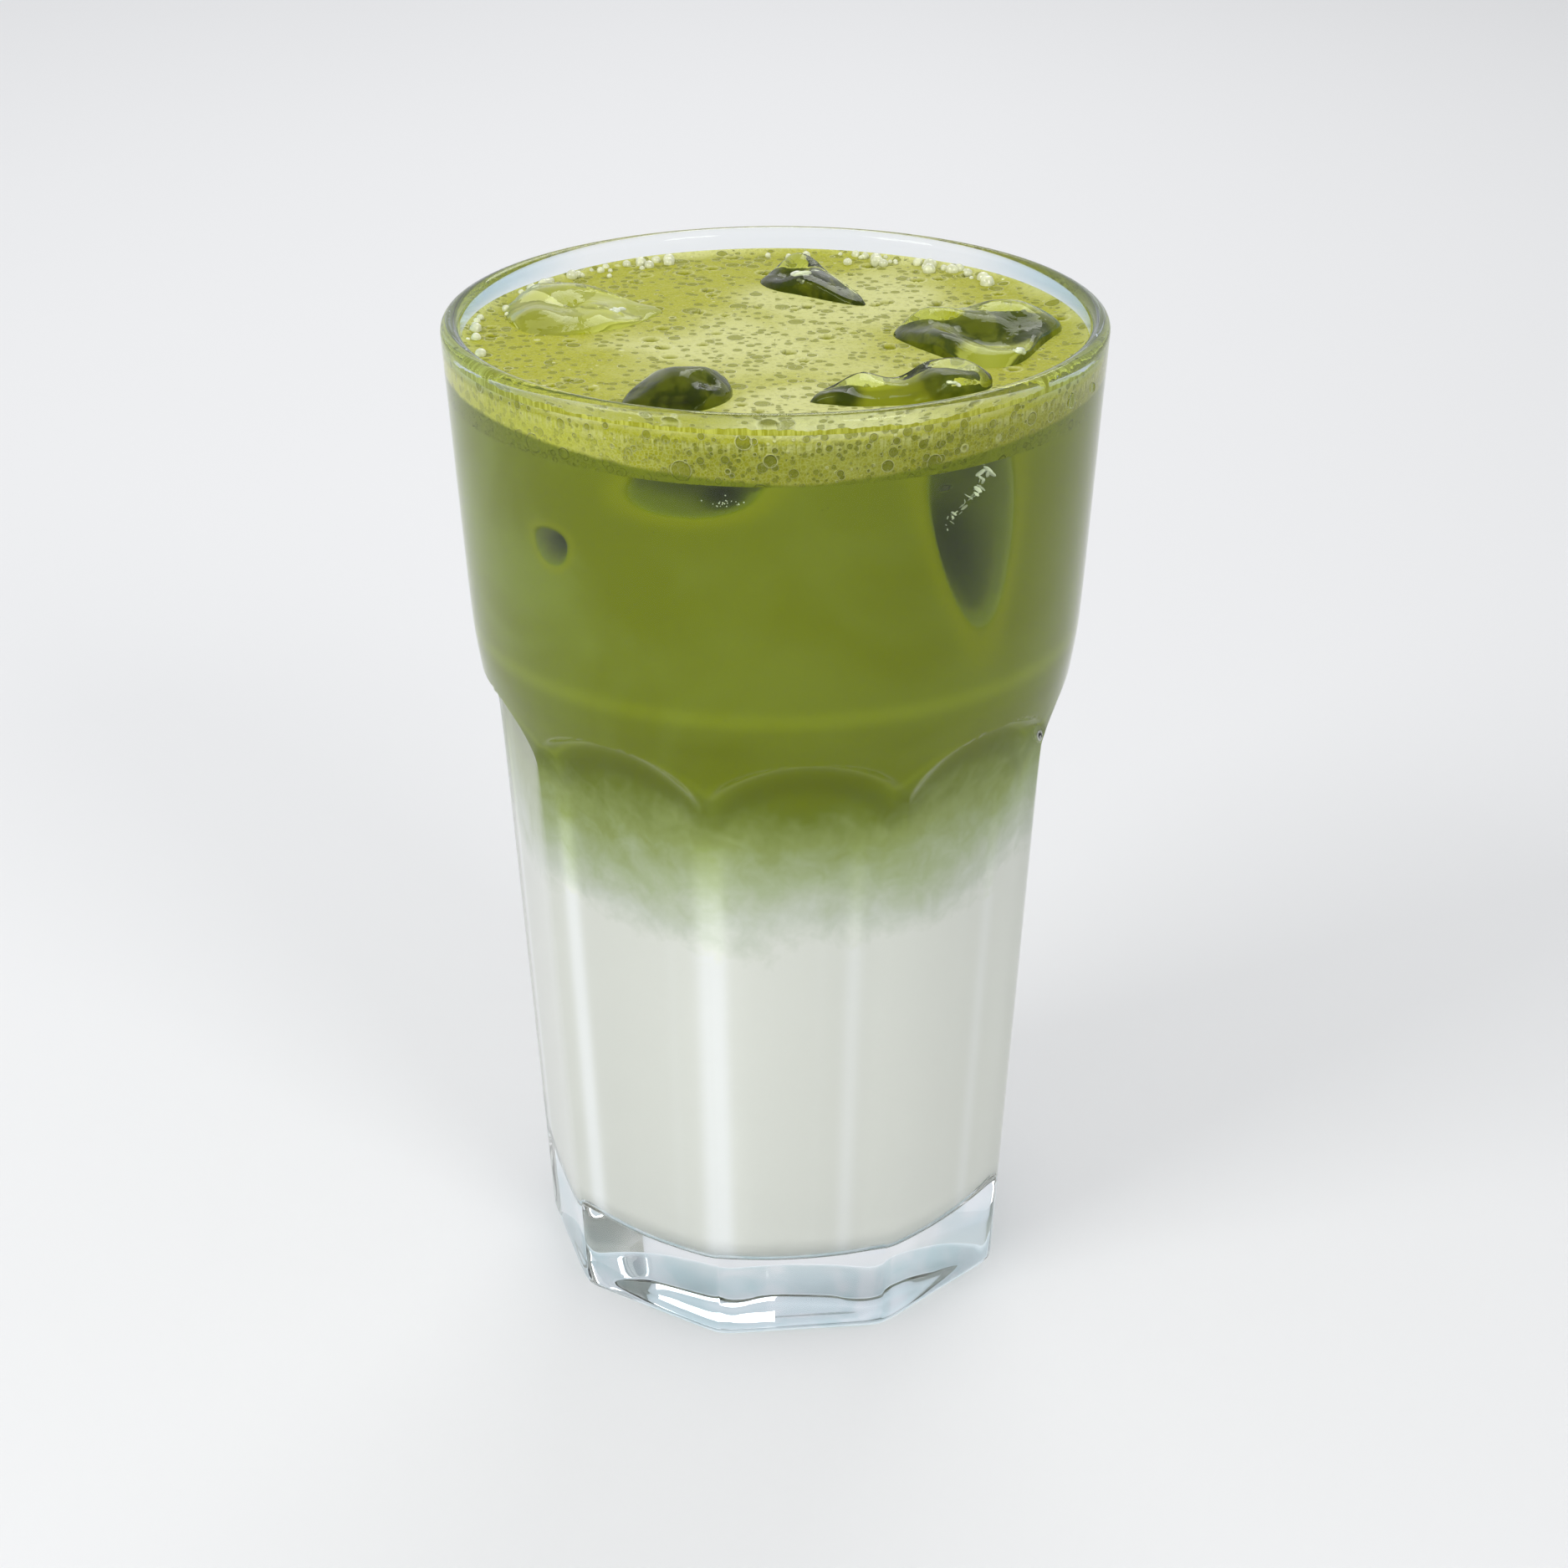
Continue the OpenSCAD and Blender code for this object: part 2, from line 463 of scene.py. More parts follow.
class Nodes:
    """A material's or world's node tree, emptied, with one method that adds a node of any type."""

    def __init__(self, owner):
        owner.use_nodes = True
        self.tree = owner.node_tree
        self.tree.nodes.clear()

    def add(self, kind, settings=None, sockets=None):
        """Adds a node, sets its settings, then its sockets, and gives back its first output."""
        node = self.tree.nodes.new(kind)
        for name, value in (settings or {}).items():
            if name == "stops":
                while len(node.color_ramp.elements) < len(value):
                    node.color_ramp.elements.new(1.0)
                for element, (position, colour) in zip(node.color_ramp.elements, value):
                    element.position = position
                    element.color = (*colour, 1.0)
            else:
                setattr(node, name, value)
        for name, value in (sockets or {}).items():
            if isinstance(value, Wire):
                self.tree.links.new(value.socket, node.inputs[name])
            else:
                node.inputs[name].default_value = value
        return Wire(self, node.outputs[0]) if node.outputs else node

    def place(self):
        """Object coordinates in millimetres."""
        return self.scaled(self.add("ShaderNodeTexCoord").at("Object"), 1 / MM)

    def axes(self, vector):
        """The X, Y and Z of a vector."""
        parts = self.add("ShaderNodeSeparateXYZ", {}, {"Vector": vector})
        return parts.at("X"), parts.at("Y"), parts.at("Z")

    def kept(self, name):
        """A number that the mesh keeps for each of its points."""
        return self.add("ShaderNodeAttribute", {"attribute_name": name}).at("Fac")

    def absolute(self, value):
        """A number without its sign."""
        return self.add("ShaderNodeMath", {"operation": "ABSOLUTE"}, {0: value})

    def scaled(self, vector, scale):
        """A vector or a colour times a number."""
        return self.add("ShaderNodeVectorMath", {"operation": "SCALE"}, {0: vector, "Scale": scale})

    def vector(self, operation, first, second):
        """A Vector Math node on two vectors or colours."""
        return self.add("ShaderNodeVectorMath", {"operation": operation}, {0: first, 1: second})

    def mix(self, share, first, second):
        """A colour between two colours. Sockets 6 and 7 and output 2 are a Mix node's colours."""
        sockets = {0: share, 6: rgba(first), 7: rgba(second)}
        return self.add("ShaderNodeMix", {"data_type": "RGBA"}, sockets).at(2)

    def step(self, value, low, high):
        """0 below low, 1 above high and a smooth step between."""
        limits = {"Value": value, "From Min": low, "From Max": high}
        return self.add("ShaderNodeMapRange", {"interpolation_type": "SMOOTHSTEP"}, limits)

    def noise(self, where, scale, detail=3.0, distortion=0.0):
        """Noise from 0 to 1, at a scale in features for each millimetre."""
        inputs = {"Vector": where, "Scale": scale, "Detail": detail, "Distortion": distortion}
        return self.add("ShaderNodeTexNoise", {}, inputs)

    def cells(self, where, scale, feature="F1"):
        """Distance in a cell pattern, at a scale in cells for each millimetre."""
        return self.add("ShaderNodeTexVoronoi", {"feature": feature}, {"Vector": where, "Scale": scale})

    def bump(self, height, strength, distance):
        """A Bump node on a height."""
        inputs = {"Height": height, "Strength": strength, "Distance": distance}
        return self.add("ShaderNodeBump", {}, inputs)

    def surface(self, sockets):
        """A Principled shader with these sockets, as the material's surface."""
        shader = self.add("ShaderNodeBsdfPrincipled", {}, sockets)
        self.add("ShaderNodeOutputMaterial", {}, {"Surface": shader})

    def clear(self, sockets, shade):
        """A clear Principled shader that lets the lamps' light straight through, tinted by shade."""
        shader = self.add("ShaderNodeBsdfPrincipled", {}, sockets)
        passing = self.add("ShaderNodeBsdfTransparent", {}, {"Color": rgba(shade)})
        shadow = self.add("ShaderNodeLightPath").at("Is Shadow Ray")
        mixed = self.add("ShaderNodeMixShader", {}, {0: shadow, 1: shader, 2: passing})
        self.add("ShaderNodeOutputMaterial", {}, {"Surface": mixed})

    def wetted(self, sockets, touching):
        """A Principled shader as seen through glass that it wets: the wall mirrors at a low angle,
        where the two touch."""
        shader = self.add("ShaderNodeBsdfPrincipled", {}, sockets)
        polished = {"Base Color": rgba((1, 1, 1)), "Metallic": 1.0, "Roughness": 0.02}
        mirror = self.add("ShaderNodeBsdfPrincipled", {}, polished)
        share = self.add("ShaderNodeFresnel", {}, {"IOR": DRINK_AGAINST_GLASS})
        mixed = self.add("ShaderNodeMixShader", {}, {0: share * touching, 1: shader, 2: mirror})
        self.add("ShaderNodeOutputMaterial", {}, {"Surface": mixed})


def rgba(colour):
    """A colour of three numbers with alpha 1, or a wire as it is."""
    return colour if isinstance(colour, Wire) else (*tuple(colour)[:3], 1.0)


def linear(red, green, blue):
    """A colour on the usual 0 to 255 display scale, as linear light."""
    share = np.array([red, green, blue]) / 255
    return tuple(np.where(share <= 0.04045, share / 12.92, ((share + 0.055) / 1.055) ** 2.4))


def new_finish(name):
    """A new material, its emptied node tree and its object coordinates in millimetres."""
    material = bpy.data.materials.new(name)
    n = Nodes(material)
    return material, n, n.place()


def finish_piece(piece, material, slot, *nodes):
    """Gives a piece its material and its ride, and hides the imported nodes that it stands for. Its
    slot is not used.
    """
    indices = np.zeros(len(piece.data.polygons), np.int32)
    piece.data.polygons.foreach_get("material_index", indices)
    piece.data.materials.clear()
    piece.data.materials.append(material)
    piece.data.polygons.foreach_set("material_index", indices)
    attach(piece, "root")
    if nodes:
        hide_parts(*nodes)
    return piece


# ---------------------------------------------------------------- finishes


def clear_glass():
    """Pressed soda glass: clear, with a breath of teal and the faint waviness that pressing leaves, and a
    painted reflection that tints it bluer at the lip's left and right sides.
    """
    material, n, place = new_finish("pressed_glass")
    waves = n.noise(place, 0.06, 1.0)
    across, _, height = n.axes(place)
    aside = n.absolute(across)
    patches = n.step(n.noise(place, 0.12, 2.0, 0.6), 0.40, 0.62)
    thick = n.mix(patches, (0.64, 0.79, 0.84), (0.86, 0.92, 0.975))
    wall = n.mix(n.noise(place, 0.03, 1.0), (0.945, 0.975, 0.985), (0.97, 0.985, 0.995))
    # Painted reflection: near the lip, bluer at the left and right sides.
    wall = n.mix(n.step(height, 136.0, 138.0) * n.step(aside, 26, 42), wall, (0.55, 0.72, 0.82))
    n.clear({
        "Base Color": n.mix(n.step(height, 12.5, 8.5), wall, thick),
        "Roughness": 0.0,
        "IOR": 1.5,
        "Specular Tint": rgba((0.44, 0.46, 0.40)),
        "Transmission Weight": 1.0,
        "Normal": n.bump(waves, 0.12, 0.3 * MM),
    }, (0.95, 0.97, 0.97))
    return material


def drink_colour(n, place):
    """The body of the drink: milk at the bottom, then wisps of both, then cloudy matcha, with painted
    light and painted shade from the pressed wall and painted shade behind the sunk ice.
    """
    look = settings().drink
    across, _, height = n.axes(place)
    wisps = 13 * n.noise(place, 0.075, 5.0, 0.8) + 6 * n.noise(place, 0.28, 5.0, 0.9)
    wisps = wisps + 2 * n.noise(place, 1.1, 3.0)
    level = height + wisps - 10.0 - 4 * n.step(across, 12, 36) + 1.5 * n.step(across, -34, -10)
    blend = n.add(
        "ShaderNodeValToRGB",
        {"stops": [
            (0.0, tuple(look.milk)),
            (0.16, linear(200, 205, 190)),
            (0.38, linear(172, 183, 145)),
            (0.62, linear(142, 155, 88)),
            (0.85, linear(112, 125, 32)),
            (1.0, tuple(look.matcha)),
        ]},
        {"Fac": n.add("ShaderNodeMapRange", {}, {"Value": level, "From Min": 63, "From Max": 90})},
    )
    murk = n.step(n.noise(place, 0.035, 4.0, 0.7), 0.40, 0.66)
    left = 1 - n.step(across, -30, -6)
    cloudy = 0.26 * murk + 0.38 * murk * left
    body = n.mix(cloudy, look.matcha, look.cloud)
    high = n.step(height + 6 * n.noise(place, 0.1, 2.0), 86, 98)
    colour = n.mix(high, blend, body)
    specks = n.step(n.cells(place, 0.55), 0.085, 0.05) * n.step(height, 76, 90)
    colour = n.mix(specks * 0.4, colour, linear(70, 80, 10))
    # Painted light and painted shade: the colour is brighter in the streaks and lines where the pressed wall
    # would gather light, and dimmer just inside each arch.
    focused = n.kept("focus")
    bright = n.vector("MINIMUM", n.scaled(colour, 1.27), (0.865, 0.87, 0.88))
    dim = n.scaled(colour, 0.80)
    colour = n.mix(n.step(focused, 0.0, 1.0), colour, bright)
    colour = n.mix(n.step(focused, 0.0, -1.0), colour, dim)
    return paint_shade_behind_ice(n, colour)


def paint_shade_behind_ice(n, colour):
    """Darkens a colour with painted shade where the drink lies deep behind the ice, and brightens it
    with painted light round that.
    """
    look = settings().drink
    halo, deep = n.kept("halo"), n.kept("deep")
    colour = n.mix(n.step(deep, 0.0, 0.5), n.mix(halo * 0.6, colour, look.halo), look.murk)
    return n.mix(n.step(deep, 0.5, 1.0), colour, look.deep)


def drink_finish(name):
    """Milk and matcha in one finish, so that one runs into the other with no seam. It doesn't touch
    the wall where ice lies between."""
    material, n, place = new_finish(name)
    n.wetted({
        "Base Color": drink_colour(n, place),
        "Roughness": 0.45 + 0.1 * n.noise(place, 0.2),
        "Specular IOR Level": 0.0,
    }, n.step(n.kept("deep"), 0.12, 0.0))
    return material


def foam_finish():
    """Froth: moist yellow-green with a fine pale mesh of bubbles, darker inside each bubble."""
    look = settings().drink
    material, n, place = new_finish("froth")
    across, _, height = n.axes(place)
    pale, pits, rims = n.kept("pale"), n.kept("pit"), n.kept("rim")
    top = FOAM_Z / MM
    side = n.step(height, top - 0.3, top - 1.0)
    patches = n.step(pale + 1.1 * n.noise(place, 0.055, 4.0, 0.6), 0.62, 1.2)
    fine = n.cells(place, 1.5)
    finest = n.cells(place, 3.2)
    base = n.mix(patches, look.foam, look.froth)
    skin = n.step(n.cells(place, 1.9, "DISTANCE_TO_EDGE"), 0.16, 0.03)
    skin = (0.12 + 0.24 * side) * skin + 0.12 * n.step(finest, 0.35, 0.6)
    base = n.mix(skin, base, look.froth)
    hole, rim = froth_bubbles(n, place, 0.68, 0.10, 0.36)
    wide, band = froth_bubbles(n, place, 0.31, -0.16, 0.56)
    tiny, circle = froth_bubbles(n, place, 1.15, 0.12, 0.34)
    hole = n.step(hole + wide + (0.3 + 0.45 * side) * tiny, 0.0, 1.0)
    rim = rim + band + 0.5 * side * circle
    cluster = n.step(across, -16, -6) * n.step(across, 30, 16)
    brown = n.mix(n.noise(place, 0.4), look.pit, (0.115, 0.135, 0.002))
    darker = n.vector("MULTIPLY", base, (0.66, 0.68, 0.45))
    base = n.mix(side * n.step(across, -16, -30) * 0.75, base, (0.52, 0.54, 0.06))
    base = n.mix(side * (0.95 * n.step(across, -22, -6)), base, darker)
    stripes = froth_stripes(n, place, 0.42, 0.60) * n.step(height, top - 2.4, top - 0.9) * side
    base = n.mix(0.5 * stripes, base, look.froth)
    base = n.mix(hole * (0.72 - 0.42 * side + 0.6 * side * cluster), base, n.mix(side, look.pit, brown))
    base = n.mix(rim * (0.65 - 0.3 * side), base, (0.76, 0.77, 0.38))
    base = n.mix(pits * 0.85, base, look.pit)
    base = n.mix(rims * 0.5, base, (0.72, 0.73, 0.36))
    thin = 0.07 * n.absolute(across - 3)
    level = FOAM_LOW_Z / MM - 0.2 + thin + 0.5 * n.noise(place, 0.3, 3.0)
    low = n.step(height - level, 0.45, -0.25)
    relief = 0.3 * fine - 0.8 * hole + 0.3 * rim + 0.2 * finest
    n.surface({
        "Base Color": n.mix(low, base, look.matcha),
        "Roughness": 0.30 + 0.25 * n.noise(place, 0.6),
        "Specular IOR Level": 0.08,
        "Normal": n.bump(relief, 0.8, 0.4 * MM),
    })
    return material


def froth_stripes(n, place, low, high):
    """Fine upright stripes: noise on a place squeezed in height, between two limits."""
    return n.step(n.noise(n.vector("MULTIPLY", place, (2.6, 2.6, 0.12)), 1.0, 2.0), low, high)


def froth_bubbles(n, place, scale, least, spread):
    """Round bubbles of mixed sizes, one in each cell of a pattern: how far a point lies inside one,
    and on its rim. The radius is least to least plus spread of a cell."""
    near = n.cells(place, scale)
    luck = n.add("ShaderNodeTexWhiteNoise", {}, {"Vector": near.at("Position")})
    inside = least + spread * luck - near
    edge = n.step(inside, -0.05, -0.005) * n.step(inside, 0.03, 0.0)
    return n.step(inside, -0.015, 0.04), edge


def cavity_finish():
    """The wet walls of the hollows that the ice lies in, in painted shade and painted light: deep green
    in painted shade, pale with painted light and random facets under the clear piece at the back left,
    and lighter with painted light under the inner sides of the two pieces at the right."""
    material, n, place = new_finish("ice_hollow_painted_light_and_shade")
    x, y, _ = n.axes(place)
    clear = n.step(x, -9, -13) * n.step(y, -6, -3)
    inner = n.step(x, 22, 26) * n.step(y, 4, 1) * n.step(y, -17, -15)
    middle = n.step(y, -20, -21) * n.step(x, 9, 12) * n.step(x, 21, 18)
    murk = n.step(n.noise(place, 0.25, 3.0), 0.42, 0.62)
    # Painted shade deep in the hollows, and painted light where light would reach in.
    dark = n.mix(murk, (0.055, 0.072, 0.002), (0.15, 0.17, 0.01))
    facet = n.add("ShaderNodeTexWhiteNoise", {}, {"Vector": n.cells(place, 0.16).at("Position")})
    light = n.mix(facet, (0.40, 0.41, 0.0), (0.92, 0.92, 0.46))
    lit = n.mix(inner, (0.33, 0.35, 0.015), n.mix(facet, (0.36, 0.38, 0.01), (0.58, 0.60, 0.12)))
    n.surface({
        "Base Color": n.mix(clear, n.mix(n.step(inner + middle, 0.0, 1.0), dark, lit), light),
        "Roughness": 0.4 + 0.2 * n.noise(place, 0.4),
        "Specular IOR Level": 0.1,
    })
    return material


def ice_finish(name, bend, sheen):
    """Clear wet ice, tinted by the tea, with the slow waves of melting in its faces. Bend is its
    refractive index, and sheen tints its highlights."""
    material, n, place = new_finish(name)
    n.clear({
        "Base Color": n.mix(n.noise(place, 0.2, 3.0), settings().ice.tint, (0.96, 0.98, 0.88)),
        "Roughness": 0.02,
        "IOR": bend,
        "Specular Tint": rgba(sheen),
        "Transmission Weight": 1.0,
        "Normal": n.bump(n.noise(place, 0.22, 3.0, 0.5), 0.35, 0.8 * MM),
    }, (0.92, 0.94, 0.8))
    return material


def floor_finish():
    """A plain pale matt floor, faintly uneven, with painted shade a little darker to the right and
    painted light a little lighter in front.
    """
    material, n, place = new_finish("pale_floor")
    x, y, _ = n.axes(place)
    colour = tuple(settings().stage.floor)
    even = n.mix(n.noise(place, 0.004, 2.0), [c * 0.985 for c in colour], colour)
    # Painted shade: a little darker to the right.
    even = n.mix(n.step(x, -60, 420), even, [c * 0.88 for c in colour])
    # Painted light: a little lighter in front.
    n.surface({
        "Base Color": n.mix(n.step(y, -60, -320) * 0.6, even, [c * 1.1 for c in colour]),
        "Roughness": 0.9,
        "Specular IOR Level": 0.1,
    })
    return material


def smear_finish():
    """Froth that has run down the wall: fine upright stripes of pale skin over moist froth."""
    look = settings().drink
    material, n, place = new_finish("froth_smear")
    stripes = froth_stripes(n, place, 0.40, 0.62)
    colour = n.mix(stripes, [0.85 * c for c in look.foam], (0.52, 0.53, 0.07))
    roughness = 0.3 + 0.2 * stripes
    n.surface({"Base Color": colour, "Roughness": roughness, "Specular IOR Level": 0.2})
    return material


def pale_finish(name, colour):
    """Wet, pale and glossy: thin skins of froth and the cracks in ice. The pale colour is partly
    painted highlight: the glints on the ice and the shine of the bubbles at the foam's edge.
    """
    material, n, place = new_finish(name)
    patches = n.step(n.noise(place, 0.9, 2.0), 0.35, 0.7)
    n.surface({
        "Base Color": n.mix(patches, colour, [c * 0.75 for c in colour]),
        "Roughness": 0.06,
        "Coat Weight": 0.6,
    })
    return material


# ---------------------------------------------------------------- ice

ICE_TO_WALL = 1.0 * MM  # least drink between the ice and the wall
CUTTER_NARROWER = 0.2  # how far a cutter stays inside its piece of ice, in millimetres
CUTTER_HIGHER = 0.3  # how far it stands over the piece's top, in millimetres

# The pieces that stand out of the foam: the outline where each meets the foam, as X and Y from the
# axis, then flats that its top is cut from, each a height over the foam at the outline's middle and
# its slopes along X and Y, then hollows melted into the top, each a place, a width and a depth, and
# how far the piece reaches down. Millimetres.
ICE_FORMS = {
    "ice_back_left": (
        ((-38, 13), (-35, 3), (-31, -1), (-24, 1), (-18, 6), (-14, 13), (-20, 16), (-31, 20), (-36, 18)),
        ((1.9, 0.0, 0.02), (2.1, -0.15, 0.0), (4.4, 0.42, 0.0), (3.3, 0.0, 0.36)),
        ((-27.5, 7.5, 3.2, 1.0), (-20.0, 9.5, 2.6, 0.5)),
        7.5,
    ),
    "ice_back_centre": (
        ((-3, 27), (-1, 22), (4, 19), (8, 16), (13, 13), (12, 17), (8, 24), (5, 30), (1, 31)),
        ((2.9, 0.0, 0.02), (2.3, -0.16, 0.08), (3.6, 0.5, 0.1)),
        ((2.6, 25.0, 2.2, 1.3),),
        14.0,
    ),
    "ice_right": (
        (
            (15, 0), (18, -5), (22, -10), (25, -14), (28, -15), (32, -13),
            (36, -2), (39, 3), (37, 6), (30, 7), (24, 4), (17, 3),
        ),
        ((2.9, 0.0, 0.01), (5.6, 0.45, 0.1), (4.6, 0.0, 0.35), (5.4, -0.38, 0.0)),
        ((29.6, -5.5, 5.4, 2.4), (22.6, -1.0, 1.6, 0.7)),
        6.0,
    ),
    "ice_front_left": (
        ((-21, -30), (-15, -32), (-10, -33), (-6, -29), (-5, -24), (-9, -20), (-12, -20), (-15, -21)),
        ((3.4, 0.0, 0.0), (4.2, 0.50, 0.0), (4.9, -0.62, 0.1), (4.4, 0.1, 0.55), (4.4, 0.0, -0.6)),
        ((-9.0, -28.0, 1.6, 0.9),),
        17.0,
    ),
    "ice_front_right": (
        (
            (3, -28), (7, -29), (10, -30), (20, -29), (27, -24), (28, -21),
            (24, -20), (20, -20), (17, -23), (12, -24), (8, -24),
        ),
        ((3.0, 0.0, 0.0), (5.2, 0.42, 0.0), (5.2, -0.28, 0.0), (4.2, 0.0, 0.6)),
        ((14.8, -26.5, 4.0, 1.5),),
        12.0,
    ),
}


def outline_reach(outline, angles):
    """Middle of an outline and the distance to its rounded edge in each direction: its corners are
    cut off again and again, at a quarter and three quarters of each side."""
    points = np.array(outline, float)
    for _ in range(4):
        after = np.roll(points, -1, 0)
        pairs = np.stack([0.75 * points + 0.25 * after, 0.25 * points + 0.75 * after], 1)
        points = pairs.reshape(-1, 2)
    middle = points.mean(0)
    x, y = (points - middle).T
    order = np.argsort(np.arctan2(y, x))
    return middle, np.interp(angles, np.arctan2(y, x)[order], np.hypot(x, y)[order], period=2 * math.pi)


def ice_grid(form, seed, cutter):
    """Rings of points over a piece of ice, from under it, up its side and in over its top. The top
    is the least of its flats, with soft edges, less its hollows and a few slow waves. A cutter is
    a little narrower and stands higher, so that the drink meets the ice with no gap."""
    outline, flats, hollows, depth = form
    angles = np.linspace(-math.pi, math.pi, 96, endpoint=False)
    middle, reach = outline_reach(outline, angles)
    if cutter:
        reach = reach - CUTTER_NARROWER
    low = [(0.05, 0.0), (0.4, 0.0), (0.7, 0.0), (0.84, 0.10), (0.93, 0.4), (0.98, 1.0), (1.0, 2.0)]
    side = [(1.0, h) for h in np.linspace(2.6, depth - 1.2, 8)]
    top = 1 - (1 - np.sin(np.linspace(math.pi / 2, 0.03, 40))) ** 0.8
    shares = np.array([s for s, _ in low + side] + list(top))
    x = middle[0] + shares[:, None] * reach * np.cos(angles)
    y = middle[1] + shares[:, None] * reach * np.sin(angles)
    roof = np.full(x.shape, 1e3)
    for height, along, across in flats:
        roof = soft_least(roof, height + along * (x - middle[0]) + across * (y - middle[1]), 0.16)
    rng = np.random.default_rng(seed)
    for _ in range(4):
        way = rng.normal(size=2) * 0.45
        roof = roof + settings().ice.wear / MM * np.sin(x * way[0] + y * way[1] + rng.uniform(0, 6.3))
    for hx, hy, wide, deep in hollows:
        roof = roof - deep * np.exp(-((((x - hx) ** 2 + (y - hy) ** 2) / wide**2) ** 1.3))
    roof = roof - 0.9 * (1 - np.sqrt(1 - np.clip((shares[:, None] - 0.86) / 0.14, 0, 1) ** 2))
    floor = np.array([h - depth for _, h in low + side])[:, None]
    z = roof
    if cutter:
        floor = floor + CUTTER_NARROWER
        z = z + CUTTER_HIGHER
    z[: len(floor)] = np.minimum(floor, z[len(floor)] - 0.1)
    points = np.stack([x, y, z], -1) * MM
    points[..., 2] += FOAM_Z
    return held_in(points, ICE_TO_WALL)


def worn_ball(centre, half, turn, seed, around=14, up=9):
    """Points of a small worn blob: a ball of the half sizes, with a few slow waves in its radius."""
    rng = np.random.default_rng(seed)
    lon = np.arange(around) * 2 * math.pi / around
    lat = np.linspace(-math.pi / 2, math.pi / 2, up + 2)[1:-1]
    lat, lon = np.meshgrid(lat, lon, indexing="ij")
    way = np.stack([np.cos(lat) * np.cos(lon), np.cos(lat) * np.sin(lon), np.sin(lat)], -1)
    radius = 1 + 0.05 * np.sin(way @ rng.normal(size=3) * 3 + rng.uniform(0, 6.3))
    rx, ry, rz = np.radians(turn)
    spin = rotation(rz, 2) @ rotation(ry, 1) @ rotation(rx, 0)
    return way * radius[..., None] * np.asarray(half) @ spin.T + centre


def rotation(angle, axis):
    """Matrix that turns by an angle about one of the three axes."""
    c, s = math.cos(angle), math.sin(angle)
    a, b = [(1, 2), (2, 0), (0, 1)][axis]
    matrix = np.eye(3)
    matrix[a, a], matrix[a, b], matrix[b, a], matrix[b, b] = c, -s, s, c
    return matrix


def held_in(points, clearance):
    """Pulls points that lie nearer to the hollow's wall than a clearance, or past it, back in."""
    reach = np.hypot(points[..., 0], points[..., 1])
    most = hollow_r(points[..., 2]) - clearance
    share = np.minimum(1, most / np.maximum(reach, 1e-9))
    held = points.copy()
    held[..., :2] *= share[..., None]
    return held


# ---------------------------------------------------------------- operators


class LATTE_OT_tumbler(bpy.types.Operator):
    """Make the glass tumbler"""

    bl_idname = "latte.tumbler"
    bl_label = "Tumbler"

    def execute(self, context):
        t = settings().tumbler
        angles = panel_angles(60)
        z = heights(
            (t.foot_round, 80 * MM, 22),
            (80 * MM, 95.5 * MM, 46),
            (95.5 * MM, 99 * MM, 8),
            (99 * MM, lip_z(), 8),
        )
        wall = outer_r(angles, z)
        foot = outer_r(angles, np.array([t.foot_round]))[0]
        turn = np.linspace(-math.pi / 2, 0, 8, endpoint=False)
        flat = foot - t.foot_round
        under = [ring(flat * s, self.dome(s), angles) for s in (0.1, 0.4, 0.7, 0.8, 0.86, 0.93)]
        bend = [
            ring(foot - t.foot_round * (1 - math.cos(a)), t.foot_round * (1 + math.sin(a)), angles)
            for a in turn
        ]
        side = [ring(radius, height, angles) for radius, height in zip(wall, z)]
        lean = math.atan(t.cone_flare)
        lip_r = t.cone_wall / 2 * math.cos(lean)
        lip = arc(cone_r(lip_z()) - t.cone_wall / 2, lip_z(), lip_r, -lean, math.pi - lean, 16)
        inner_z = heights(
            (lip_z() - 0.5 * MM, 100 * MM, 8),
            (100 * MM, 79 * MM, 18),
            (79 * MM, BASE_H + t.well_r, 10),
        )
        inner = np.stack([hollow_r(inner_z), inner_z], -1)
        turned = np.concatenate([lip, inner, well_section(0.0)[::-1]])
        inside = [ring(radius, height, angles) for radius, height in turned]
        piece = lathe("tumbler", under + bend + side + inside)
        finish_piece(piece, clear_glass(), "clear_glass", "glass")
        return {"FINISHED"}

    def dome(self, share):
        """Height of the shallow dome under the foot: 0.5 mm at the middle, down to nothing at a
        share of 0.86 of the flat foot's radius, as one less a fourth power."""
        return 0.5 * MM * (1 - (share / 0.86) ** 4) if share < 0.86 else 0.0


class LATTE_OT_milk(bpy.types.Operator):
    """Make the milk at the bottom"""

    bl_idname = "latte.milk"
    bl_label = "Milk"

    def execute(self, context):
        t = settings().tumbler
        angles = np.linspace(0, 2 * math.pi, 360, endpoint=False)
        z = heights((BASE_H + t.well_r, MILK_Z, 36))
        side = np.stack([hollow_r(z) + SOAK, z], -1)
        edge = float(hollow_r(MILK_Z)) + SOAK
        top = [[edge, MILK_Z], [0.6 * edge, MILK_Z], [0.3 * edge, MILK_Z]]
        section = np.concatenate([well_section(SOAK), side, top])
        piece = lathe("milk_fill", [ring(r, h, angles) for r, h in section])
        # The painted light and shade that the pressed wall would gather on the milk.
        shade(piece, "focus", focus(angles[None, :], section[:-2, 1:]))
        finish_piece(piece, drink_finish("milk_body"), "milk", "milk")
        return {"FINISHED"}


def shade(piece, name, values):
    """Keeps a number for each of a piece's points, and zero for the points of its poles."""
    attribute = piece.data.attributes.new(name, "FLOAT", "POINT")
    padded = np.zeros(len(piece.data.vertices), np.float32)
    padded[: np.size(values)] = np.ravel(values)
    attribute.data.foreach_set("value", padded)


